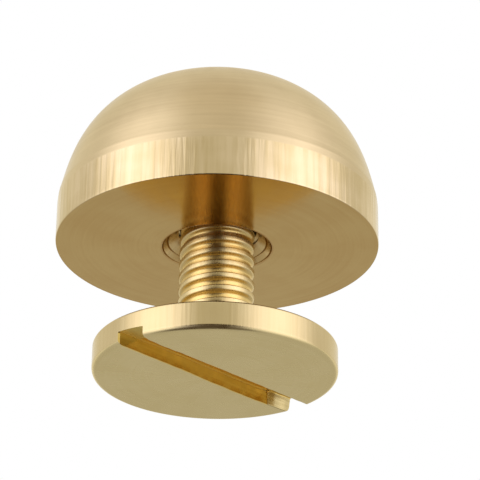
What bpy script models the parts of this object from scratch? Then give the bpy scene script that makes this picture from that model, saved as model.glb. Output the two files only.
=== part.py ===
"""Purse foot: a turned dome and the slotted screw that holds it to a bag.

Metres, +Z up. The foot is shown open, dome up, with the screw part way in.
The origin lies on the common axis, in the slotted face of the screw's head.
"""
import math

import bmesh
import bpy
from mathutils import Matrix

MM = 0.001

# Domed foot, turned from bar
FOOT_DIAMETER = 12.0 * MM
FOOT_HEIGHT = 6.5 * MM
BAND_HEIGHT = 1.5 * MM  # straight band above the base
FACET_HEIGHT = 0.3 * MM  # narrow cone between the band and the dome
FACET_LEAN = math.radians(6.0)
DOME_LEAN = math.radians(16.0)  # how far the dome leans in where it leaves the facet
FLANK_FULLNESS = 0.236  # reach of the flank's curve, as a share of the dome's rise
CROWN_FULLNESS = 0.898  # reach of the crown's curve, as a share of the dome's radius
FOOT_EDGE_BREAK = 0.05 * MM  # chamfer round the base

# Hole in the foot: sunk mouth, thread bore, drill point
MOUTH_DIAMETER = 4.04 * MM
MOUTH_BAND_DEPTH = 0.2 * MM
MOUTH_BAND_TAPER = 0.15 * MM  # radius lost over the band
COUNTERSINK_ANGLE = math.radians(90.0)
TAPPED_DEPTH = 4.3 * MM
DRILLED_DEPTH = 4.7 * MM
DRILL_POINT_ANGLE = math.radians(118.0)

# Screw: slotted flat head, neck, threaded shank
HEAD_DIAMETER = 8.92 * MM
HEAD_THICKNESS = 1.07 * MM
HEAD_FACE_ROUND = 0.2 * MM  # radius of the edge round the slotted face
HEAD_SEAT_ROUND = 0.1 * MM  # radius of the edge round the inner face
SLOT_WIDTH = 1.1 * MM
SLOT_DEPTH = 0.47 * MM
SLOT_OFFSET = 0.12 * MM  # the saw cut runs slightly off centre
SLOT_TURN = math.radians(46.0)
SHANK_LENGTH = 5.5 * MM  # from the head's inner face to the tip
TIP_CHAMFER = 0.3 * MM
NECK_HEIGHT = 0.2 * MM  # plain neck where the thread stops short of the head
NECK_STEP = 0.03 * MM  # how far the neck stands out past the thread

# Thread, metric and right handed
THREAD_DIAMETER = 2.8 * MM  # over the crests of the screw
THREAD_PITCH = 0.5 * MM
THREAD_FLANK = math.radians(30.0)
CREST_SHARE = 1 / 3  # flat left on the crest of the slim blank, in pitches
ROOT_SHARE = 1 / 4  # flat at the root, in pitches
THREAD_CLEARANCE = 0.05 * MM  # between the screw's crests and the foot's bore

# Where the two stand apart: the space for the bag's panel
PANEL_GAP = 4.08 * MM

# Fineness of the turned surfaces
TURN_STEPS = 72
THREAD_STEPS = 36
DOME_STEPS = 16
ROUND_STEPS = 5

SMOOTH_ANGLE = math.radians(20.0)
WELD = 0.00001 * MM
OVERRUN = 0.5 * MM  # how far a cutter runs past what it cuts

FOOT_RADIUS = FOOT_DIAMETER / 2
HEAD_RADIUS = HEAD_DIAMETER / 2
THREAD_RADIUS = THREAD_DIAMETER / 2
BORE_RADIUS = THREAD_RADIUS + THREAD_CLEARANCE
BASE_HEIGHT = HEAD_THICKNESS + PANEL_GAP


def clear_scene():
    for old in list(bpy.data.objects):
        bpy.data.objects.remove(old, do_unlink=True)


def new_collection(name):
    collection = bpy.data.collections.new(name)
    bpy.context.scene.collection.children.link(collection)
    return collection


def brass(name, colour, roughness):
    material = bpy.data.materials.new(name)
    material.use_nodes = True
    shader = material.node_tree.nodes["Principled BSDF"]
    shader.inputs["Base Color"].default_value = (*colour, 1.0)
    shader.inputs["Metallic"].default_value = 1.0
    shader.inputs["Roughness"].default_value = roughness
    return material


def new_object(name, mesh, collection):
    obj = bpy.data.objects.new(name, mesh)
    collection.objects.link(obj)
    return obj


def mark_as_cutter(obj):
    obj.hide_render = True
    obj.display_type = "WIRE"


def evaluated_mesh(obj):
    depsgraph = bpy.context.evaluated_depsgraph_get()
    return bpy.data.meshes.new_from_object(obj.evaluated_get(depsgraph))


def turned_object(name, profile, collection, steps, rise=0.0):
    """Turn a profile of (radius, height) points about Z; a rise makes it a helix."""
    points = [(radius, 0.0, height) for radius, height in profile]
    edges = [(i, i + 1) for i in range(len(points) - 1)]
    mesh = bpy.data.meshes.new(name)
    mesh.from_pydata(points, edges, [])
    obj = new_object(name, mesh, collection)
    screw = obj.modifiers.new("turn", "SCREW")
    screw.axis = "Z"
    screw.angle = math.tau
    screw.steps = steps
    screw.render_steps = steps
    screw.screw_offset = rise
    screw.use_merge_vertices = rise == 0.0
    screw.merge_threshold = WELD
    obj.data = evaluated_mesh(obj)
    obj.modifiers.clear()
    return obj


def boolean(obj, other, operation):
    """Join, cut or trim obj by other, with Blender's exact solver."""
    cut = obj.modifiers.new(other.name, "BOOLEAN")
    cut.operation = operation
    cut.solver = "EXACT"
    cut.object = other


def finish(obj, material):
    """Fix the modifiers' result, smooth the round faces and keep the edges crisp."""
    mesh = evaluated_mesh(obj)
    obj.modifiers.clear()
    obj.data = mesh
    mesh.name = obj.name
    mesh.shade_smooth()
    mesh.set_sharp_from_angle(angle=SMOOTH_ANGLE)
    mesh.materials.clear()
    mesh.materials.append(material)


def bezier(start, start_pull, end_pull, end, steps):
    """Points of a cubic curve, without its first one."""
    points = []
    for i in range(1, steps + 1):
        t = i / steps
        u = 1 - t
        weights = (u**3, 3 * u * u * t, 3 * u * t * t, t**3)
        corners = (start, start_pull, end_pull, end)
        points.append(tuple(sum(w * c[k] for w, c in zip(weights, corners)) for k in (0, 1)))
    return points


def quarter_round(centre, radius, start):
    """Points of a quarter of a circle, clockwise from its start angle in degrees."""
    angles = [math.radians(start - 90.0 * i / ROUND_STEPS) for i in range(ROUND_STEPS + 1)]
    return [(centre[0] + radius * math.cos(a), centre[1] + radius * math.sin(a)) for a in angles]


def dome_curve():
    """From the top of the facet up to the apex, leaning in and then flattening."""
    top = FOOT_RADIUS - FACET_HEIGHT * math.tan(FACET_LEAN)
    start = (top, BAND_HEIGHT + FACET_HEIGHT)
    rise = FOOT_HEIGHT - start[1]
    flank = FLANK_FULLNESS * rise
    flank_pull = (top - flank * math.sin(DOME_LEAN), start[1] + flank * math.cos(DOME_LEAN))
    crown_pull = (CROWN_FULLNESS * top, FOOT_HEIGHT)
    return [start] + bezier(start, flank_pull, crown_pull, (0.0, FOOT_HEIGHT), DOME_STEPS)


def hole_profile():
    """From the rim of the sunk mouth up the bore to the drill's point."""
    mouth = MOUTH_DIAMETER / 2
    band = mouth - MOUTH_BAND_TAPER
    cone = (band - BORE_RADIUS) / math.tan(COUNTERSINK_ANGLE / 2)
    drill = BORE_RADIUS - THREAD_PITCH / 2
    point = drill / math.tan(DRILL_POINT_ANGLE / 2)
    return [
        (mouth, 0.0),
        (band, MOUTH_BAND_DEPTH),
        (BORE_RADIUS, MOUTH_BAND_DEPTH + cone),
        (BORE_RADIUS, TAPPED_DEPTH),
        (drill, TAPPED_DEPTH),
        (drill, DRILLED_DEPTH),
        (0.0, DRILLED_DEPTH + point),
    ]


def make_domed_foot(parts):
    outside = list(reversed(dome_curve()))
    outside += [
        (FOOT_RADIUS, BAND_HEIGHT),
        (FOOT_RADIUS, FOOT_EDGE_BREAK),
        (FOOT_RADIUS - FOOT_EDGE_BREAK, 0.0),
    ]
    foot = turned_object("domed_foot", outside + hole_profile(), parts, TURN_STEPS)
    foot.location.z = BASE_HEIGHT
    finish(foot, brass("foot_brass", (0.66, 0.50, 0.24), 0.28))
    return foot


def make_thread_form(cutters):
    """A rod with the full helical thread, longer than the shank at both ends."""
    flat = THREAD_PITCH * ROOT_SHARE
    crest = THREAD_PITCH * CREST_SHARE
    depth = (THREAD_PITCH - flat - crest) / 2 / math.tan(THREAD_FLANK)
    root = THREAD_RADIUS - depth
    sharp = THREAD_RADIUS + crest / 2 / math.tan(THREAD_FLANK)
    pitches = math.ceil(SHANK_LENGTH / THREAD_PITCH) + 4
    top = HEAD_THICKNESS + (pitches - 3) * THREAD_PITCH
    profile = []
    for i in range(pitches):
        height = top - i * THREAD_PITCH
        profile += [
            (root, height),
            (root, height - flat),
            (sharp, height - flat - (THREAD_PITCH - flat) / 2),
        ]
    profile.append((root, top - pitches * THREAD_PITCH))
    rod = turned_object("thread_form", profile, cutters, THREAD_STEPS, THREAD_PITCH)
    close_rod(rod.data)
    mark_as_cutter(rod)
    return rod


def close_rod(mesh):
    """Weld the seam of a helical sheet and close its two open ends round the axis."""
    shape = bmesh.new()
    shape.from_mesh(mesh)
    bmesh.ops.remove_doubles(shape, verts=shape.verts, dist=WELD)
    rim = [edge for edge in shape.edges if edge.is_boundary]
    caps = bmesh.ops.holes_fill(shape, edges=rim, sides=0)["faces"]
    bmesh.ops.poke(shape, faces=caps)
    bmesh.ops.recalc_face_normals(shape, faces=shape.faces)
    shape.to_mesh(mesh)
    shape.free()


def make_shank(cutters):
    """The turned blank of the shank, trimmed to the thread."""
    tip = HEAD_THICKNESS + SHANK_LENGTH
    inside_head = HEAD_THICKNESS - min(OVERRUN, (HEAD_THICKNESS - SLOT_DEPTH) / 2)
    blank = [
        (0.0, tip),
        (THREAD_RADIUS - TIP_CHAMFER, tip),
        (THREAD_RADIUS, tip - TIP_CHAMFER),
        (THREAD_RADIUS, inside_head),
        (0.0, inside_head),
    ]
    shank = turned_object("shank_form", blank, cutters, THREAD_STEPS)
    boolean(shank, make_thread_form(cutters), "INTERSECT")
    mark_as_cutter(shank)
    return shank


def make_slot_cutter(cutters):
    """The saw cut across the head, open at both ends and below."""
    length = HEAD_DIAMETER + 2 * OVERRUN
    height = SLOT_DEPTH + OVERRUN
    shape = bmesh.new()
    bmesh.ops.create_cube(shape, size=1.0)
    bmesh.ops.scale(shape, vec=(length, SLOT_WIDTH, height), verts=shape.verts)
    place = Matrix.Translation((0.0, -SLOT_OFFSET, SLOT_DEPTH - height / 2))
    shape.transform(Matrix.Rotation(SLOT_TURN, 4, "Z") @ place)
    mesh = bpy.data.meshes.new("slot_cutter")
    shape.to_mesh(mesh)
    shape.free()
    cutter = new_object("slot_cutter", mesh, cutters)
    mark_as_cutter(cutter)
    return cutter


def make_slotted_screw(parts, cutters):
    neck = THREAD_RADIUS + NECK_STEP
    seat_centre = (HEAD_RADIUS - HEAD_SEAT_ROUND, HEAD_THICKNESS - HEAD_SEAT_ROUND)
    face_centre = (HEAD_RADIUS - HEAD_FACE_ROUND, HEAD_FACE_ROUND)
    head = [
        (0.0, HEAD_THICKNESS + NECK_HEIGHT),
        (neck, HEAD_THICKNESS + NECK_HEIGHT),
        (neck, HEAD_THICKNESS),
    ]
    head += quarter_round(seat_centre, HEAD_SEAT_ROUND, 90.0)
    head += quarter_round(face_centre, HEAD_FACE_ROUND, 0.0)
    head.append((0.0, 0.0))
    screw = turned_object("slotted_screw", head, parts, TURN_STEPS)
    boolean(screw, make_shank(cutters), "UNION")
    boolean(screw, make_slot_cutter(cutters), "DIFFERENCE")
    finish(screw, brass("screw_brass", (0.70, 0.55, 0.27), 0.24))
    return screw


def main():
    clear_scene()
    parts = new_collection("purse_foot")
    cutters = new_collection("cutters")
    make_slotted_screw(parts, cutters)
    make_domed_foot(parts)


main()
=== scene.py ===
import math

import bmesh
import bpy
from mathutils import Matrix, Vector, noise


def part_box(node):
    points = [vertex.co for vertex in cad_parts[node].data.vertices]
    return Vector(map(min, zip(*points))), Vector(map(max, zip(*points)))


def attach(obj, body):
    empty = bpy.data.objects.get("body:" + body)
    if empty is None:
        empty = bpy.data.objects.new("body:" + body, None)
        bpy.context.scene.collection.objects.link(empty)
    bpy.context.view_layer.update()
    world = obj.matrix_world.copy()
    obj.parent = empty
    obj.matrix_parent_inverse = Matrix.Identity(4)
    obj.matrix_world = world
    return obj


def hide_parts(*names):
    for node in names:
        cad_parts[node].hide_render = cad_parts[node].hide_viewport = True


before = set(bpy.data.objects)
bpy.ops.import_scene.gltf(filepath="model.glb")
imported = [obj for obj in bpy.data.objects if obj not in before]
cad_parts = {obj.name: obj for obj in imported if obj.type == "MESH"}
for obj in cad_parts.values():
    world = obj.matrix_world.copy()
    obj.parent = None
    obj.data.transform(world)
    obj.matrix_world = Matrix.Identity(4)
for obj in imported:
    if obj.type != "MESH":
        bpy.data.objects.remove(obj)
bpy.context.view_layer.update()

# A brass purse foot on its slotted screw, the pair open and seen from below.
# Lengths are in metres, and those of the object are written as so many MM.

MM = 0.001

# Sizes read from the frame
foot_low, foot_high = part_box("domed_foot")
_, screw_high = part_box("slotted_screw")
BASE_Z = foot_low.z
APEX_Z = foot_high.z
FOOT_RADIUS = foot_high.x
HEAD_RADIUS = screw_high.x
TIP_Z = screw_high.z

# Foot
BAND_HEIGHT = 1.5 * MM
FACET_HEIGHT = 0.3 * MM
FACET_LEAN = math.radians(6.0)
FACET_TOP_RADIUS = FOOT_RADIUS - FACET_HEIGHT * math.tan(FACET_LEAN)
DOME_LEAN = math.radians(16.0)
FLANK_FULLNESS = 0.236  # how far up the dome's curve is drawn along its lean, as a share of its rise
CROWN_FULLNESS = 0.898  # how far out it is drawn level from the apex, as a share of its radius
BASE_EDGE_HEIGHT = 0.07 * MM  # of the band's burnished lower edge
BASE_EDGE_WIDTH = 0.02 * MM
BASE_CROWN = 0.035  # slope of the base in shading, as if it stood lower at the mouth than outside
MOUTH_RADIUS = 2.02 * MM
MOUTH_BAND_DEPTH = 0.2 * MM
MOUTH_BAND_TAPER = 0.15 * MM
NICK_HALF_WIDTH = 0.03 * MM  # of the nick round the mouth's edge
NICK_DEPTH = 0.09 * MM
NICK_INNER_DEPTH = 0.018 * MM  # where the nick meets the mouth's band
MOUTH_GROOVE_WIDTH = 0.06 * MM  # where the band meets the cone
MOUTH_GROOVE_DEPTH = 0.09 * MM
TAPPED_DEPTH = 4.3 * MM
DRILLED_DEPTH = 4.7 * MM
DRILL_POINT_ANGLE = math.radians(118.0)

# Screw
HEAD_THICKNESS = 1.07 * MM
HEAD_FACE_ROUND = 0.2 * MM
HEAD_SEAT_ROUND = 0.1 * MM
FACE_HUB_RADIUS = 0.4 * MM  # innermost ring of the slotted face, which the slot takes away
NECK_HEIGHT = 0.2 * MM
NECK_RADIUS = 1.43 * MM
TIP_CHAMFER = 0.3 * MM

# Slot: each wall as sawn, (place along the cut, distance across), both in millimetres
SLOT_TURN = math.radians(46.0)
SLOT_DEPTHS = (0.49 * MM, 0.54 * MM)  # at the far wall, from one end of the cut to the other
SLOT_FLOOR_RISE = 0.10 * MM  # towards the near wall, because the saw leaned
FAR_WALL = ((-4.2, 0.41), (-1.2, 0.41), (0.3, 0.46), (2.4, 0.48), (3.2, 0.44), (4.4, 0.38))
NEAR_WALL = ((-4.4, -0.72), (-3.9, -0.645), (-3.3, -0.62), (-2.4, -0.66), (0.0, -0.68),
             (4.4, -0.67))
SAW_WANDER = 0.02 * MM
FAR_WANDER = (2.6, (0.0, 1.7))  # how many waves a millimetre, and where in the noise
NEAR_WANDER = (3.1, (5.0, 4.1))
FACET_START = 3.31 * MM  # where the last cut of the saw leans the far wall
FACET_STEP = 0.02 * MM  # the length over which it starts
FACET_DRAFT = 0.08 * MM
SLOT_CORNER_ROUND = 0.08 * MM  # of the wall into the rim
SLOT_CORNER_INSET = 0.03 * MM  # from the rim to where that rounding is complete
NEAR_CORNER_SHARE = 0.6  # rounding of the near wall's corners against the far wall's
SLOT_LIP = 0.02 * MM
SLOT_FLOOR_ROUND = 0.03 * MM
FLOOR_ROUND_BULGE = 0.3 * SLOT_FLOOR_ROUND
FLOOR_ROUGH_END = -3.5 * MM  # the saw left the floor rough from the start of the cut to here
SLOT_OVERRUN = 0.5 * MM  # of the cutter past the rim
SLOT_CLEARANCE = 0.3 * MM  # of the cutter below the slotted face
SLOT_STEPS = 120
FAR_WALL_SIDES = (1, 2, 3)  # of the cut's outline
FLOOR_SIDES = (6, 7, 8)

# Thread, right handed
PITCH = 0.5 * MM
THREAD_FLANK = math.radians(30.0)
THREAD_TURN = 0.32  # where round the axis the thread starts, in turns
FLAT_LEAN = 0.022 * MM  # crest and root are a little narrower at their lower end
CREST_RADIUS = 1.4 * MM
CREST_FLAT = 0.165 * MM
ROOT_FLAT = 0.16 * MM
# Rounding of the root's upper, the crest's lower, the crest's upper and the root's lower corner
THREAD_ROUNDS = (0.06 * MM, 0.045 * MM, 0.015 * MM, 0.015 * MM)

# Thread of the foot's hole, as the tap that cuts it
BORE_RADIUS = 1.45 * MM
GROOVE_DEPTH = 0.12 * MM  # outward from the bore
TAP_CREST_FLAT = 0.1 * MM
TAP_ROOT_FLAT = 0.16 * MM
TAP_ROUNDS = (0.02 * MM,) * 4
TAP_START = 0.1 * MM  # above the base
TAP_END_GAP = 0.05 * MM  # to the end of the tapped bore

# Fineness of the meshes, and where their closer rings stand
FOOT_STEPS = 240
HEAD_STEPS = 240
THREAD_STEPS = 120
TAP_STEPS = 96
DOME_POINTS = 65
HAIRLINE = 0.012 * MM  # from an edge to the ring beside it, which keeps the edge crisp
EDGE_PLACES = (0.0, 0.1, 0.5, 0.9, 1.0)  # of the rings along a short face, as shares of it
CONE_PLACES = (0.0, 0.05, 0.3, 0.6, 0.9, 1.0)
FAR_RING = 0.9  # the last ring of each slot wall above its rounding, as a share of the depth
NEAR_RING = 0.8
FLOOR_RING = 0.05  # the first ring of the slot's floor, as a share of its rise
SAME_HEIGHT = 1e-8  # two points this close in height lie in one flat cut
SHARP_ANGLE = math.radians(25.0)

# Zones of a turned mesh, which are also its material slots
DOME, BAND, BASE, HOLE = range(4)
THREAD, FACE, RIM, SLOT, SEAT, FACET, FLOOR = range(7)

# Brass
GRAZING_COLOUR = (0.97, 0.92, 0.76, 1.0)  # it stays yellow at grazing angles
QUARTER_TURN = 0.25  # the gloss is drawn out across the turning marks
MARKS_SHARE = 0.4  # of the colour's change that follows the marks, and not the blotches
SHADE_AND_BOUNCE_WANDER = 0.1  # of the edge of the painted shade and bounce nearer to the axis, in millimetres
SAW_MARKS_ALONG = 350.0  # per metre
SAW_MARKS_ACROSS = 3000.0

# Camera, fitted to the outlines in the photograph
CAMERA_TARGET = Vector((-0.172, 0.0, 5.502)) * MM
CAMERA_DISTANCE = 78.1 * MM
CAMERA_ELEVATION = math.radians(25.48)  # below the horizon
CAMERA_ROLL = math.radians(1.085)
CAMERA_YAW = math.radians(0.749)
LENS = 157.2
SENSOR = 36.0

# Floor
FLOOR_GREY = 0.74
FLOOR_ROUGHNESS = 0.7
FLOOR_SIZE = 4.0
FLOOR_DROP = 0.02 * MM

# Softboxes
BOX_COLOUR = (1.0, 1.0, 1.2)
BOX_DISTANCE = 0.4
BOX_FALL = 2.0  # how much faster they fade up and down than sideways

# What the pieces mirror besides the softboxes.
# A patch is its azimuth and elevation, and how far from there it starts to fade and has
# faded, all in degrees.
WHITE = (1.0, 1.0, 1.0)
HORIZON = (-0.2, 0.0)  # heights between which the floor's level turns into the sky's
SHADED_FLOOR = 0.64  # level of the floor round the object, which shades it
FRONT_COLOUR = (0.86, 0.85, 0.76)  # the room in front, past the softboxes
FRONT_PATCH = (0.0, 15.0, 8.0, 34.0)
CEILING_COLOUR = (0.92, 0.88, 0.80)
CEILING_PATCH = (0.0, 70.0, 5.0, 30.0)
CAMERA_COLOUR = (0.075, 0.042, 0.016)  # the dark camera
CAMERA_PATCH = (-4.0, -22.0, 26.0, 36.0)
SHADE_COLOUR = (0.12, 0.08, 0.04)  # under the camera
SHADE_PATCH = (-13.0, -62.0, 22.0, 38.0)


def spread(first, last, count):
    """Evenly spaced values from the first to the last, both included."""
    return [first + (last - first) * i / (count - 1) for i in range(count)]


def lerp(a, b, t):
    return a + (b - a) * t


def smooth(t):
    t = min(max(t, 0.0), 1.0)
    return t * t * (3.0 - 2.0 * t)


def arc(centre, radius, start, end, count):
    """Points of an arc in the turning plane, angles in degrees from +X."""
    angles = [math.radians(a) for a in spread(start, end, count)]
    return [(centre[0] + radius * math.cos(a), centre[1] + radius * math.sin(a)) for a in angles]


def rounded(corners, steps):
    """Points along (radius, height) corners, each (point, rounding), rounded by short curves."""
    points = []
    for (before, _), (corner, rounding), (after, _) in zip(corners, corners[1:], corners[2:]):
        here = Vector(corner)
        start = here + (Vector(before) - here).normalized() * rounding
        finish = here + (Vector(after) - here).normalized() * rounding
        for t in spread(0.0, 1.0, steps):
            points.append(tuple(start.lerp(here, t).lerp(here.lerp(finish, t), t)))
    return points


def zoned(points, zone):
    return [(radius, height, zone) for radius, height in points]


def turned_mesh(name, rings, steps, materials):
    """A mesh from rings of (radius, height, zone), which run down the outer side."""
    shape = bmesh.new()
    rows = []
    for radius, height, zone in rings:
        if radius == 0.0:
            rows.append([shape.verts.new((0.0, 0.0, height))])
            continue
        row = []
        for i in range(steps):
            angle = math.tau * i / steps
            row.append(shape.verts.new((radius * math.cos(angle), radius * math.sin(angle), height)))
        rows.append(row)
    for upper, lower, ring in zip(rows, rows[1:], rings[1:]):
        for i in range(steps):
            j = (i + 1) % steps
            corners = (upper[i % len(upper)], lower[i % len(lower)],
                       lower[j % len(lower)], upper[j % len(upper)])
            face = shape.faces.new(list(dict.fromkeys(corners)))
            face.material_index = ring[2]
            face.smooth = True
    mesh = bpy.data.meshes.new(name)
    shape.to_mesh(mesh)
    shape.free()
    for material in materials:
        mesh.materials.append(material)
    return mesh


def as_object(name, shape):
    """A plain object made from a bmesh, which is freed."""
    mesh = bpy.data.meshes.new(name)
    shape.to_mesh(mesh)
    shape.free()
    obj = bpy.data.objects.new(name, mesh)
    bpy.context.scene.collection.objects.link(obj)
    return obj


def cut_away(mesh, cutter):
    """The mesh with the cutter's solid taken out of it. The cutter is removed."""
    work = bpy.data.objects.new("uncut", mesh)
    bpy.context.scene.collection.objects.link(work)
    cut = work.modifiers.new("cut", "BOOLEAN")
    cut.operation = "DIFFERENCE"
    cut.solver = "EXACT"
    cut.object = cutter
    depsgraph = bpy.context.evaluated_depsgraph_get()
    result = bpy.data.meshes.new_from_object(work.evaluated_get(depsgraph))
    bpy.data.objects.remove(work)
    bpy.data.objects.remove(cutter)
    return result


def add_piece(name, mesh, body, node):
    """A visible piece, which rides on a body and stands for a node of the frame."""
    obj = bpy.data.objects.new(name, mesh)
    bpy.context.scene.collection.objects.link(obj)
    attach(obj, body)
    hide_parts(node)
    return obj


# Threads

def thread_form(crest, crest_flat, root_flat, rounds):
    """One pitch of the thread's outline from root to root, as (radius, height) points."""
    rise = (PITCH - crest_flat - root_flat) / 2
    root = crest - rise / math.tan(THREAD_FLANK)
    low = root_flat / 2
    high = PITCH - low
    return rounded([
        ((root - FLAT_LEAN, low - root_flat), 0.0),
        ((root, low), rounds[0]),
        ((crest - FLAT_LEAN, low + rise), rounds[1]),
        ((crest, high - rise), rounds[2]),
        ((root - FLAT_LEAN, high), rounds[3]),
        ((root, high + root_flat), 0.0),
    ], steps=6)


def helical_rod(form, low, high, steps, zone, limit=None):
    """A closed rod with the thread form wound round it, right handed, cut off flat at both ends.

    limit gives the largest radius at a height.
    """
    shape = bmesh.new()
    # Two turns to spare below the lower cut, and one above the upper one
    turns = math.ceil((high - low) / PITCH) + 3
    first = low - 2 * PITCH + THREAD_TURN * PITCH
    rows = [(r, first + k * PITCH + z) for k in range(turns) for r, z in form]
    grid = []
    for r, z in rows:
        row = []
        for j in range(steps):
            turn = j / steps
            height = z + turn * PITCH
            radius = min(r, limit(height)) if limit else r
            angle = math.tau * turn
            row.append(shape.verts.new((radius * math.cos(angle), radius * math.sin(angle), height)))
        grid.append(row)
    for i in range(len(rows) - 1):
        for j in range(steps - 1):
            shape.faces.new((grid[i][j], grid[i][j + 1], grid[i + 1][j + 1], grid[i + 1][j]))
        k = i + len(form)
        if k + 1 < len(rows):
            shape.faces.new((grid[i][-1], grid[k][0], grid[k + 1][0], grid[i + 1][-1]))
    for height, side in ((low, -1.0), (high, 1.0)):
        everything = shape.verts[:] + shape.edges[:] + shape.faces[:]
        bmesh.ops.bisect_plane(shape, geom=everything, plane_co=(0.0, 0.0, height),
                               plane_no=(0.0, 0.0, side), clear_outer=True)
        rim = [e for e in shape.edges
               if e.is_boundary and all(abs(v.co.z - height) < SAME_HEIGHT for v in e.verts)]
        bmesh.ops.holes_fill(shape, edges=rim, sides=0)
    for face in shape.faces:
        face.material_index = zone
        face.smooth = True
    bmesh.ops.recalc_face_normals(shape, faces=shape.faces)
    return shape


# Foot

def dome_points():
    """From the apex down to the top of the facet."""
    start_z = BASE_Z + BAND_HEIGHT + FACET_HEIGHT
    reach = FLANK_FULLNESS * (APEX_Z - start_z)
    corners = (
        Vector((FACET_TOP_RADIUS, start_z)),
        Vector((FACET_TOP_RADIUS - reach * math.sin(DOME_LEAN),
                start_z + reach * math.cos(DOME_LEAN))),
        Vector((CROWN_FULLNESS * FACET_TOP_RADIUS, APEX_Z)),
        Vector((0.0, APEX_Z)),
    )
    points = []
    for t in spread(1.0, 0.0, DOME_POINTS):
        u = 1 - t
        weights = (u**3, 3 * u * u * t, 3 * u * t * t, t**3)
        point = sum((w * c for w, c in zip(weights, corners)), Vector((0.0, 0.0)))
        points.append((max(point.x, 0.0), point.y))
    points[0] = (0.0, APEX_Z)
    return points


def mouth_points():
    """From the base over the nick round the mouth, its band, the groove and the cone to the bore."""
    start = (MOUTH_RADIUS - NICK_HALF_WIDTH, BASE_Z + NICK_INNER_DEPTH)
    end = (MOUTH_RADIUS - MOUTH_BAND_TAPER, BASE_Z + MOUTH_BAND_DEPTH)
    points = [(MOUTH_RADIUS + NICK_HALF_WIDTH, BASE_Z), (MOUTH_RADIUS, BASE_Z + NICK_DEPTH)]
    points += [(lerp(start[0], end[0], t), lerp(start[1], end[1], t)) for t in EDGE_PLACES]
    points.append((end[0] - MOUTH_GROOVE_WIDTH / 2, end[1] + MOUTH_GROOVE_DEPTH))
    cone_start = end[0] - MOUTH_GROOVE_WIDTH
    cone = cone_start - BORE_RADIUS
    points += [(cone_start - cone * t, end[1] + cone * t) for t in CONE_PLACES]
    points.append((BORE_RADIUS, end[1] + cone + HAIRLINE))
    return points


def facet_and_band_rings():
    """From the top of the facet down to the foot's edge, and round it."""
    crease = BASE_Z + BAND_HEIGHT
    lean = FOOT_RADIUS - FACET_TOP_RADIUS
    facet = [(FACET_TOP_RADIUS + lean * t, crease + FACET_HEIGHT * (1 - t))
             for t in EDGE_PLACES[1:-1]]
    rings = zoned(facet + [(FOOT_RADIUS, crease)], DOME)
    band_low = BASE_Z + 2 * BASE_EDGE_HEIGHT
    heights = [crease - HAIRLINE] + spread(crease - 4 * HAIRLINE, band_low, count=9)
    rings += zoned([(FOOT_RADIUS, z) for z in heights], BAND)
    inner = FOOT_RADIUS - BASE_EDGE_WIDTH
    quarter = arc((0.0, 0.0), 1.0, start=0, end=-90, count=9)
    rings += zoned([(inner + BASE_EDGE_WIDTH * r, BASE_Z + BASE_EDGE_HEIGHT * (1 + z))
                    for r, z in quarter], BAND)
    return rings


def hole_points(mouth_end):
    """From the end of the mouth up the bore to the drill's point."""
    tapped = BASE_Z + TAPPED_DEPTH
    drilled = BASE_Z + DRILLED_DEPTH
    drill = BORE_RADIUS - PITCH / 2
    point = drill / math.tan(DRILL_POINT_ANGLE / 2)
    bore = [(BORE_RADIUS, z) for z in spread(mouth_end + 2 * HAIRLINE, tapped, count=8)]
    return bore + [
        (drill, tapped + HAIRLINE),
        (drill, drilled),
        (drill / 2, drilled + point / 2),
        (0.0, drilled + point),
    ]


def foot_rings():
    rings = zoned(dome_points(), DOME) + facet_and_band_rings()
    base_outer = FOOT_RADIUS - BASE_EDGE_WIDTH - HAIRLINE
    base_inner = MOUTH_RADIUS + NICK_HALF_WIDTH + HAIRLINE
    rings += zoned([(r, BASE_Z) for r in spread(base_outer, base_inner, count=24)], BASE)
    mouth = mouth_points()
    rings += zoned(mouth + hole_points(mouth[-1][1]), HOLE)
    return rings


def hole_thread():
    """What the tap takes out of the foot: a rod whose thread stands out of the bore."""
    form = thread_form(BORE_RADIUS + GROOVE_DEPTH, TAP_CREST_FLAT, TAP_ROOT_FLAT, TAP_ROUNDS)
    low = BASE_Z + TAP_START
    high = BASE_Z + TAPPED_DEPTH - TAP_END_GAP
    return helical_rod(form, low, high, TAP_STEPS, HOLE)


# Screw

def head_rings():
    """From the neck over the seat, the rim and its rounds to the middle of the slotted face."""
    neck_top = HEAD_THICKNESS + NECK_HEIGHT
    rings = zoned([
        (0.0, neck_top),
        (NECK_RADIUS - HAIRLINE, neck_top),
        (NECK_RADIUS, neck_top - HAIRLINE),
        (NECK_RADIUS, HEAD_THICKNESS + 4 * HAIRLINE),
    ], SEAT)
    fillet = 2 * HAIRLINE
    rings += zoned(arc((NECK_RADIUS + fillet, HEAD_THICKNESS + fillet), fillet,
                       start=180, end=270, count=6), SEAT)
    seat = HEAD_RADIUS - HEAD_SEAT_ROUND
    seat_radii = spread(NECK_RADIUS + 6 * HAIRLINE, seat - HAIRLINE, count=14)
    rings += zoned([(r, HEAD_THICKNESS) for r in seat_radii], SEAT)
    side_top = HEAD_THICKNESS - HEAD_SEAT_ROUND
    rings += zoned(arc((seat, side_top), HEAD_SEAT_ROUND, start=90, end=0, count=11), RIM)
    low = HEAD_FACE_ROUND
    side = spread(side_top - HAIRLINE, low + 2 * HAIRLINE, count=8)
    rings += zoned([(HEAD_RADIUS, z) for z in side], RIM)
    centre = (HEAD_RADIUS - low, low)
    rings += zoned(arc(centre, low, start=0, end=-18, count=3), RIM)
    rings += zoned(arc(centre, low, start=-27, end=-90, count=8), FACE)
    face_radii = spread(centre[0] - HAIRLINE, FACE_HUB_RADIUS, count=16)
    rings += zoned([(r, 0.0) for r in face_radii] + [(0.0, 0.0)], FACE)
    return rings


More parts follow.
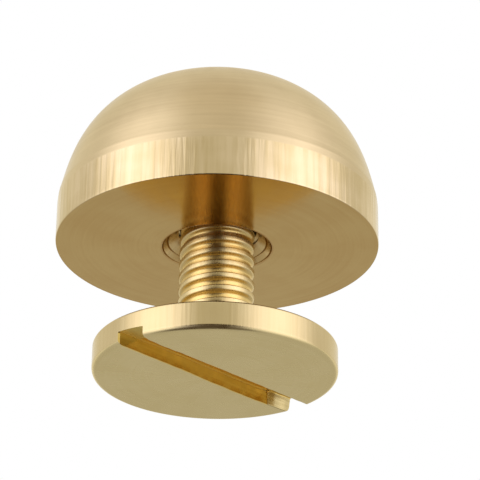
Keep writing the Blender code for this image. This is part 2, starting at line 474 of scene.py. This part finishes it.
def along_wall(points, u):
    """How far a slot wall stands from the cut's middle line, at a place along the cut."""
    at = u / MM
    if at <= points[0][0]:
        return points[0][1] * MM
    for (u0, v0), (u1, v1) in zip(points, points[1:]):
        if at <= u1:
            return lerp(v0, v1, smooth((at - u0) / (u1 - u0))) * MM
    return points[-1][1] * MM


def saw_wander(u, waves, where):
    """How far the saw strayed at a place along the cut."""
    return SAW_WANDER * noise.noise((u / MM * waves, *where))


def corner_flare(u):
    """How far the wall draws back where its end is rounded into the rim."""
    into = SLOT_CORNER_ROUND - (HEAD_RADIUS - SLOT_CORNER_INSET - abs(u))
    into = min(max(into, 0.0), SLOT_CORNER_ROUND)
    return SLOT_CORNER_ROUND - math.sqrt(SLOT_CORNER_ROUND**2 - into**2)


def slot_outline(u):
    """The cut's cross-section at a place along it, from the far wall over the floor to the near."""
    far = along_wall(FAR_WALL, u) + saw_wander(u, *FAR_WANDER) + corner_flare(u) * (u < 0)
    lean = FACET_DRAFT if u > FACET_START else 0.0
    far_floor = far - lean
    near = along_wall(NEAR_WALL, u) + saw_wander(u, *NEAR_WANDER)
    near -= corner_flare(u) * NEAR_CORNER_SHARE
    deep = lerp(*SLOT_DEPTHS, 0.5 + u / (2 * HEAD_RADIUS))
    shallow = deep - SLOT_FLOOR_RISE
    rest = SLOT_FLOOR_ROUND
    return [
        (far + SLOT_LIP, -SLOT_CLEARANCE),
        (far + SLOT_LIP, 0.0),
        (far, SLOT_LIP),
        (lerp(far, far_floor, FAR_RING), deep * FAR_RING),
        (far_floor, deep - rest),
        (far_floor - FLOOR_ROUND_BULGE, deep - FLOOR_ROUND_BULGE),
        (far_floor - rest, deep),
        (far_floor - 2 * rest, lerp(deep, shallow, FLOOR_RING)),
        (near + 2 * rest, lerp(deep, shallow, 1 - FLOOR_RING)),
        (near + rest, shallow),
        (near + FLOOR_ROUND_BULGE, shallow - FLOOR_ROUND_BULGE),
        (near, shallow - rest),
        (near, shallow * NEAR_RING),
        (near, SLOT_LIP),
        (near - SLOT_LIP, 0.0),
        (near - SLOT_LIP, -SLOT_CLEARANCE),
    ]


def slot_cutter():
    """The saw cut as a solid, laid along X and then turned to its place."""
    reach = HEAD_RADIUS + SLOT_OVERRUN
    places = spread(-reach, reach, SLOT_STEPS) + [FACET_START, FACET_START + FACET_STEP]
    shape = bmesh.new()
    loops = [[shape.verts.new((u, v, z)) for v, z in slot_outline(u)] for u in sorted(places)]
    for here, there in zip(loops, loops[1:]):
        for i in range(len(here)):
            j = (i + 1) % len(here)
            face = shape.faces.new((here[i], here[j], there[j], there[i]))
            face.material_index = SLOT
            if i in FLOOR_SIDES and here[i].co.x < FLOOR_ROUGH_END:
                face.material_index = FLOOR
            if i in FAR_WALL_SIDES and here[i].co.x > FACET_START:
                face.material_index = FACET
            face.smooth = True
    shape.faces.new(list(reversed(loops[0])))
    shape.faces.new(loops[-1])
    bmesh.ops.recalc_face_normals(shape, faces=shape.faces)
    shape.transform(Matrix.Rotation(SLOT_TURN, 4, "Z"))
    return as_object("slot_cutter", shape)


def shank():
    """The threaded rod from inside the neck up to the tip, with the tip's chamfer."""
    form = thread_form(CREST_RADIUS, CREST_FLAT, ROOT_FLAT, THREAD_ROUNDS)

    def blank(height):
        return min(CREST_RADIUS, CREST_RADIUS - TIP_CHAMFER + TIP_Z - height)

    return helical_rod(form, HEAD_THICKNESS + NECK_HEIGHT / 2, TIP_Z, THREAD_STEPS, THREAD, blank)


# Materials

def node(tree, kind, **values):
    """A shader node with its settings, and its inputs given by position as i0, i1 and so on."""
    made = tree.nodes.new("ShaderNode" + kind)
    for name, value in values.items():
        if name[0] == "i" and name[1:].isdigit():
            socket = made.inputs[int(name[1:])]
            if isinstance(value, bpy.types.NodeSocket):
                tree.links.new(value, socket)
            else:
                socket.default_value = value
        else:
            setattr(made, name, value)
    return made


def maths(tree, operation, a, b):
    return node(tree, "Math", operation=operation, i0=a, i1=b).outputs[0]


def remap(tree, value, low, high, start=0.25, end=0.75, curve="LINEAR"):
    """Low where the value is at the start, high where it is at the end, and no further."""
    made = node(tree, "MapRange", interpolation_type=curve, i0=value)
    names = ("From Min", "From Max", "To Min", "To Max")
    for name, number in zip(names, (start, end, low, high)):
        made.inputs[name].default_value = number
    return made.outputs[0]


def blend(tree, factor, pale, deep):
    """The first colour where the factor is 0 and the second where it is 1."""
    made = node(tree, "Mix", data_type="RGBA")
    tree.links.new(factor, made.inputs["Factor"])
    for socket, colour in ((made.inputs[6], pale), (made.inputs[7], deep)):
        if isinstance(colour, bpy.types.NodeSocket):
            tree.links.new(colour, socket)
        else:
            socket.default_value = (*colour, 1.0)
    return made.outputs[2]


def cloud(tree, vector, detail):
    """Noise over a vector that already has its scale."""
    texture = node(tree, "TexNoise", i0=vector)
    texture.inputs["Scale"].default_value = 1.0
    texture.inputs["Detail"].default_value = detail
    return texture.outputs[0]


def bump(tree, height, rise, normal=None, invert=False):
    """A normal bent by a height, which stands so many millimetres out where it is 1."""
    made = node(tree, "Bump", invert=invert, i0=1.0, i1=rise * MM)
    tree.links.new(height, made.inputs["Height"])
    if normal is not None:
        tree.links.new(normal, made.inputs["Normal"])
    return made.outputs[0]


def round_coordinates(tree):
    """Unit direction round the axis, then distance from it and height, both in millimetres."""
    place = node(tree, "TexCoord").outputs["Object"]
    x, y, z = node(tree, "SeparateXYZ", i0=place).outputs
    flat = node(tree, "CombineXYZ", i0=x, i1=y).outputs[0]
    distance = node(tree, "VectorMath", operation="LENGTH", i0=flat).outputs["Value"]
    around = node(tree, "VectorMath", operation="NORMALIZE", i0=flat).outputs["Vector"]
    return around, maths(tree, "MULTIPLY", distance, 1 / MM), maths(tree, "MULTIPLY", z, 1 / MM)


def grain(tree, around, along, turns, rate, seed, detail=2.0):
    """Noise over a turned surface.

    turns is how fine it is round the axis, rate how fine per millimetre along the side or face.
    """
    scaled = node(tree, "VectorMath", operation="SCALE", i0=around)
    scaled.inputs["Scale"].default_value = turns
    x, y, _ = node(tree, "SeparateXYZ", i0=scaled.outputs["Vector"]).outputs
    shifted = node(tree, "Math", operation="MULTIPLY_ADD", i0=along, i1=rate, i2=seed).outputs[0]
    vector = node(tree, "CombineXYZ", i0=x, i1=y, i2=shifted).outputs[0]
    return cloud(tree, vector, detail)


def new_material(name):
    """A material, its node tree and its shader."""
    material = bpy.data.materials.new(name)
    material.use_nodes = True
    tree = material.node_tree
    return material, tree, tree.nodes["Principled BSDF"]


def new_metal(name):
    material, tree, shader = new_material(name)
    shader.inputs["Metallic"].default_value = 1.0
    shader.inputs["Specular Tint"].default_value = GRAZING_COLOUR
    return material, tree, shader


def brass(name, pale, deep, roughness, across, stretch, streaks, rings, inner=None, crown=None):
    """Turned brass. across is "height" on a side and "radius" on a face, the way the tool moved.

    streaks run with the tool's feed and rings with the turning: each (how fine, how high in mm).
    inner is a colour painted nearer to the axis for shade and bounced light there, and the two
    distances in mm between which it ends.
    crown is the slope of a face that rises evenly towards its middle.
    """
    material, tree, shader = new_metal(name)
    shader.inputs["Anisotropic"].default_value = stretch
    shader.inputs["Anisotropic Rotation"].default_value = QUARTER_TURN
    tangent = node(tree, "Tangent", direction_type="RADIAL", axis="Z").outputs[0]
    tree.links.new(tangent, shader.inputs["Tangent"])

    around, distance, height = round_coordinates(tree)
    along = height if across == "height" else distance
    streak_fineness, streak_height = streaks
    ring_fineness, ring_height = rings
    streak = grain(tree, around, along, turns=streak_fineness, rate=0.35, seed=1.0)
    ring = grain(tree, around, along, turns=1.0, rate=ring_fineness, seed=5.0, detail=3.0)
    blotches = grain(tree, around, along, turns=2.2, rate=0.5, seed=3.0, detail=3.0)
    worn = grain(tree, around, along, turns=9.0, rate=1.2, seed=8.0, detail=3.0)
    uneven = grain(tree, around, along, turns=3.0, rate=0.3, seed=6.0)

    marks = streak if streak_height > ring_height else ring
    marks_part = maths(tree, "MULTIPLY", marks, MARKS_SHARE)
    blotches_part = maths(tree, "MULTIPLY", blotches, 1 - MARKS_SHARE)
    change = maths(tree, "ADD", marks_part, blotches_part)
    colour = blend(tree, remap(tree, change, 0.0, 1.0, start=0.4, end=0.6), pale, deep)
    # Painted shade and bounced light: a colour nearer to the axis, whose edge wanders with the
    # blotches
    if inner:
        painted_shade_and_bounce, start, end = inner
        strayed = maths(tree, "ADD", distance, maths(tree, "MULTIPLY", blotches, SHADE_AND_BOUNCE_WANDER))
        colour = blend(tree, remap(tree, strayed, 0.0, 1.0, start, end), painted_shade_and_bounce, colour)
    tree.links.new(colour, shader.inputs["Base Color"])
    tree.links.new(remap(tree, worn, *roughness), shader.inputs["Roughness"])

    depth = remap(tree, uneven, 0.45, 1.0, start=0.35, end=0.65)
    normal = bump(tree, maths(tree, "MULTIPLY", streak, depth), streak_height)
    normal = bump(tree, ring, ring_height, normal)
    if crown:
        normal = bump(tree, distance, crown, normal, invert=True)
    tree.links.new(normal, shader.inputs["Normal"])
    return material


def sawn_brass(name, pale, deep, roughness, fineness, rise):
    """Sawn brass. The saw's marks lie along the cut, so many per metre and so high in millimetres."""
    material, tree, shader = new_metal(name)
    place = node(tree, "TexCoord").outputs["Object"]
    turned = node(tree, "VectorRotate", rotation_type="Z_AXIS", i0=place)
    turned.inputs["Angle"].default_value = -SLOT_TURN
    x, y, z = node(tree, "SeparateXYZ", i0=turned.outputs[0]).outputs
    along = maths(tree, "MULTIPLY", x, SAW_MARKS_ALONG)
    across = maths(tree, "MULTIPLY", y, SAW_MARKS_ACROSS)
    up = maths(tree, "MULTIPLY", z, fineness)
    marks = cloud(tree, node(tree, "CombineXYZ", i0=along, i1=across, i2=up).outputs[0], detail=2.0)
    colour = blend(tree, remap(tree, marks, 0.0, 1.0), pale, deep)
    tree.links.new(colour, shader.inputs["Base Color"])
    tree.links.new(remap(tree, marks, *roughness), shader.inputs["Roughness"])
    tree.links.new(bump(tree, marks, rise), shader.inputs["Normal"])
    return material


# Pieces

def foot_materials():
    """One for each zone of the foot, in the zones' order."""
    return (
        brass("foot_dome_brass", pale=(0.615, 0.48, 0.275), deep=(0.55, 0.425, 0.24),
              roughness=(0.19, 0.25), across="height", stretch=0.88,
              streaks=(24.0, 0.0007), rings=(7.0, 0.0012)),
        brass("foot_band_brass", pale=(0.64, 0.50, 0.30), deep=(0.53, 0.405, 0.21),
              roughness=(0.11, 0.17), across="height", stretch=0.6,
              streaks=(30.0, 0.022), rings=(9.0, 0.0012)),
        brass("foot_base_brass", pale=(0.555, 0.38, 0.148), deep=(0.52, 0.34, 0.125),
              roughness=(0.12, 0.18), across="radius", stretch=0.8,
              streaks=(20.0, 0.0010), rings=(9.0, 0.0010),
              # painted shade: a dark red-brown ring round the mouth's edge, where shade falls
              inner=((0.38, 0.19, 0.06), 2.09, 2.17), crown=BASE_CROWN),
        brass("foot_hole_brass", pale=(0.58, 0.42, 0.19), deep=(0.53, 0.36, 0.14),
              roughness=(0.2, 0.3), across="height", stretch=0.4,
              streaks=(20.0, 0.0010), rings=(9.0, 0.0008)),
    )


def screw_materials():
    """One for each zone of the screw, in the zones' order."""
    return (
        brass("screw_thread_brass", pale=(0.64, 0.50, 0.25), deep=(0.60, 0.45, 0.21),
              roughness=(0.24, 0.32), across="height", stretch=0.3,
              streaks=(24.0, 0.0010), rings=(9.0, 0.0006),
              # painted bounced light: deeper orange towards the roots, as light bounces between the
              # flanks
              inner=((0.67, 0.47, 0.17), 1.33, 1.43)),
        # painted light: the face's brass is a paler copy, which makes up for the shaded floor that it
        # mirrors
        brass("screw_face_painted_light_brass", pale=(0.665, 0.54, 0.275), deep=(0.635, 0.51, 0.245),
              roughness=(0.24, 0.32), across="radius", stretch=0.3,
              streaks=(20.0, 0.0008), rings=(9.0, 0.0008)),
        # painted shade: the rim's brass is a darker copy, for the darker reflection round the head's
        # side
        brass("screw_rim_painted_shade_brass", pale=(0.565, 0.44, 0.23), deep=(0.535, 0.41, 0.205),
              roughness=(0.16, 0.22), across="height", stretch=0.6,
              streaks=(38.0, 0.0060), rings=(9.0, 0.0010)),
        sawn_brass("screw_slot_brass", pale=(0.77, 0.56, 0.19), deep=(0.66, 0.45, 0.11),
                   roughness=(0.14, 0.24), fineness=24000.0, rise=0.0015),
        brass("screw_seat_brass", pale=(0.70, 0.53, 0.21), deep=(0.66, 0.50, 0.18),
              roughness=(0.30, 0.38), across="radius", stretch=0.3,
              streaks=(20.0, 0.0008), rings=(9.0, 0.0008)),
        sawn_brass("screw_facet_brass", pale=(0.50, 0.40, 0.19), deep=(0.30, 0.22, 0.07),
                   roughness=(0.2, 0.4), fineness=9000.0, rise=0.012),
        sawn_brass("screw_slot_floor_brass", pale=(0.74, 0.60, 0.25), deep=(0.60, 0.47, 0.15),
                   roughness=(0.45, 0.6), fineness=9000.0, rise=0.006),
    )


def make_foot():
    mesh = turned_mesh("foot_body", foot_rings(), FOOT_STEPS, foot_materials())
    mesh = cut_away(mesh, as_object("tap", hole_thread()))
    mesh.name = "foot_body"
    mesh.set_sharp_from_angle(angle=SHARP_ANGLE)
    return add_piece("foot_body", mesh, "foot", "domed_foot")


def make_screw():
    mesh = turned_mesh("head", head_rings(), HEAD_STEPS, screw_materials())
    mesh = cut_away(mesh, slot_cutter())
    whole = shank()
    whole.from_mesh(mesh)
    whole.to_mesh(mesh)
    whole.free()
    mesh.name = "screw_body"
    mesh.set_sharp_from_angle(angle=SHARP_ANGLE)
    return add_piece("screw_body", mesh, "screw", "slotted_screw")


# Studio

def make_floor():
    """A pale floor under the object. Only the camera sees it, and only from above."""
    bpy.ops.mesh.primitive_plane_add(size=FLOOR_SIZE, location=(0.0, 0.0, -FLOOR_DROP))
    floor = bpy.context.object
    floor.name = "floor"
    material, tree, shader = new_material("floor")
    shader.inputs["Base Color"].default_value = (FLOOR_GREY, FLOOR_GREY, FLOOR_GREY, 1.0)
    shader.inputs["Roughness"].default_value = FLOOR_ROUGHNESS
    clear = node(tree, "BsdfTransparent").outputs[0]
    behind = node(tree, "NewGeometry").outputs["Backfacing"]
    mix = node(tree, "MixShader", i0=behind, i1=shader.outputs[0], i2=clear)
    tree.links.new(mix.outputs[0], tree.nodes["Material Output"].inputs["Surface"])
    floor.data.materials.append(material)
    floor.visible_diffuse = False
    floor.visible_glossy = False
    floor.visible_transmission = False
    floor.visible_shadow = False


def direction(azimuth, elevation):
    """Unit vector from the object, azimuth in degrees from the front towards +X."""
    turn = math.radians(azimuth)
    rise = math.radians(elevation)
    return Vector((math.sin(turn) * math.cos(rise), -math.cos(turn) * math.cos(rise),
                   math.sin(rise)))


def patch(tree, sky, azimuth, elevation, inner, outer):
    """1 inside a soft round patch of the sky, 0 outside it; inner and outer are in degrees."""
    towards = node(tree, "VectorMath", operation="DOT_PRODUCT", i0=sky)
    towards.inputs[1].default_value = direction(azimuth, elevation)
    return remap(tree, towards.outputs["Value"], 0.0, 1.0,
                 math.cos(math.radians(outer)), math.cos(math.radians(inner)), "SMOOTHSTEP")


def make_world():
    """White above, a shaded floor below, the room in front and overhead, and the camera."""
    world = bpy.data.worlds.new("studio")
    bpy.context.scene.world = world
    world.use_nodes = True
    tree = world.node_tree
    sky = node(tree, "TexCoord").outputs["Generated"]
    height = node(tree, "SeparateXYZ", i0=sky).outputs[2]
    level = remap(tree, height, SHADED_FLOOR, 1.0, *HORIZON, "SMOOTHSTEP")
    colour = WHITE
    for seen, where in ((FRONT_COLOUR, FRONT_PATCH), (CEILING_COLOUR, CEILING_PATCH),
                        (SHADE_COLOUR, SHADE_PATCH), (CAMERA_COLOUR, CAMERA_PATCH)):
        colour = blend(tree, patch(tree, sky, *where), colour, seen)
    background = tree.nodes["Background"]
    tree.links.new(colour, background.inputs["Color"])
    tree.links.new(level, background.inputs["Strength"])


def softbox(name, azimuth, elevation, roll, width, height, radiance):
    """A large soft lamp that fades towards its edges, leaning over to one side by its roll."""
    light = bpy.data.lights.new(name, "AREA")
    light.shape = "RECTANGLE"
    light.size = width
    light.size_y = height
    light.color = BOX_COLOUR
    light.energy = radiance * width * height * math.pi
    light.use_nodes = True
    tree = light.node_tree
    across, up, _ = node(tree, "SeparateXYZ", i0=node(tree, "TexCoord").outputs["UV"]).outputs
    fades = []
    for place in (across, up):
        off = maths(tree, "ABSOLUTE", maths(tree, "SUBTRACT", place, 0.5), 0.0)
        fades.append(remap(tree, off, 0.0, 1.0, start=0.5, end=0.0, curve="SMOOTHSTEP"))
    sideways, upward = fades
    fall = maths(tree, "POWER", upward, BOX_FALL)
    glow = maths(tree, "MULTIPLY", sideways, fall)
    tree.links.new(glow, tree.nodes["Emission"].inputs["Strength"])
    lamp = bpy.data.objects.new(name, light)
    bpy.context.scene.collection.objects.link(lamp)
    towards = direction(azimuth, elevation)
    lamp.location = Vector((0.0, 0.0, BASE_Z)) + towards * BOX_DISTANCE
    lean = Matrix.Rotation(math.radians(roll), 4, "Z")
    lamp.rotation_euler = (towards.to_track_quat("Z", "Y").to_matrix().to_4x4() @ lean).to_euler()


def make_camera():
    """The photograph's view: from below, a long lens, leaning a little."""
    forward = Vector((0.0, math.cos(CAMERA_ELEVATION), math.sin(CAMERA_ELEVATION)))
    up = Vector((0.0, -math.sin(CAMERA_ELEVATION), math.cos(CAMERA_ELEVATION)))
    right = Vector((1.0, 0.0, 0.0))
    location = CAMERA_TARGET - forward * CAMERA_DISTANCE
    aim = forward * math.cos(CAMERA_YAW) + right * math.sin(CAMERA_YAW)
    side = right * math.cos(CAMERA_YAW) - forward * math.sin(CAMERA_YAW)
    level = side * math.cos(CAMERA_ROLL) + up * math.sin(CAMERA_ROLL)
    upright = up * math.cos(CAMERA_ROLL) - side * math.sin(CAMERA_ROLL)
    turn = Matrix((level, upright, -aim)).transposed()
    data = bpy.data.cameras.new("camera")
    data.lens = LENS
    data.sensor_width = SENSOR
    data.clip_start = 1.0 * MM
    data.clip_end = 100.0
    camera = bpy.data.objects.new("camera", data)
    bpy.context.scene.collection.objects.link(camera)
    camera.matrix_world = Matrix.Translation(location) @ turn.to_4x4()
    bpy.context.scene.camera = camera


make_camera()
make_foot()
make_screw()
make_floor()
make_world()
softbox("left_box", azimuth=-57.0, elevation=6.0, roll=13.0, width=0.76, height=1.8, radiance=1.32)
softbox("right_box", azimuth=59.0, elevation=6.0, roll=-7.0, width=0.86, height=1.8, radiance=1.22)
bpy.context.scene.view_settings.view_transform = "Standard"
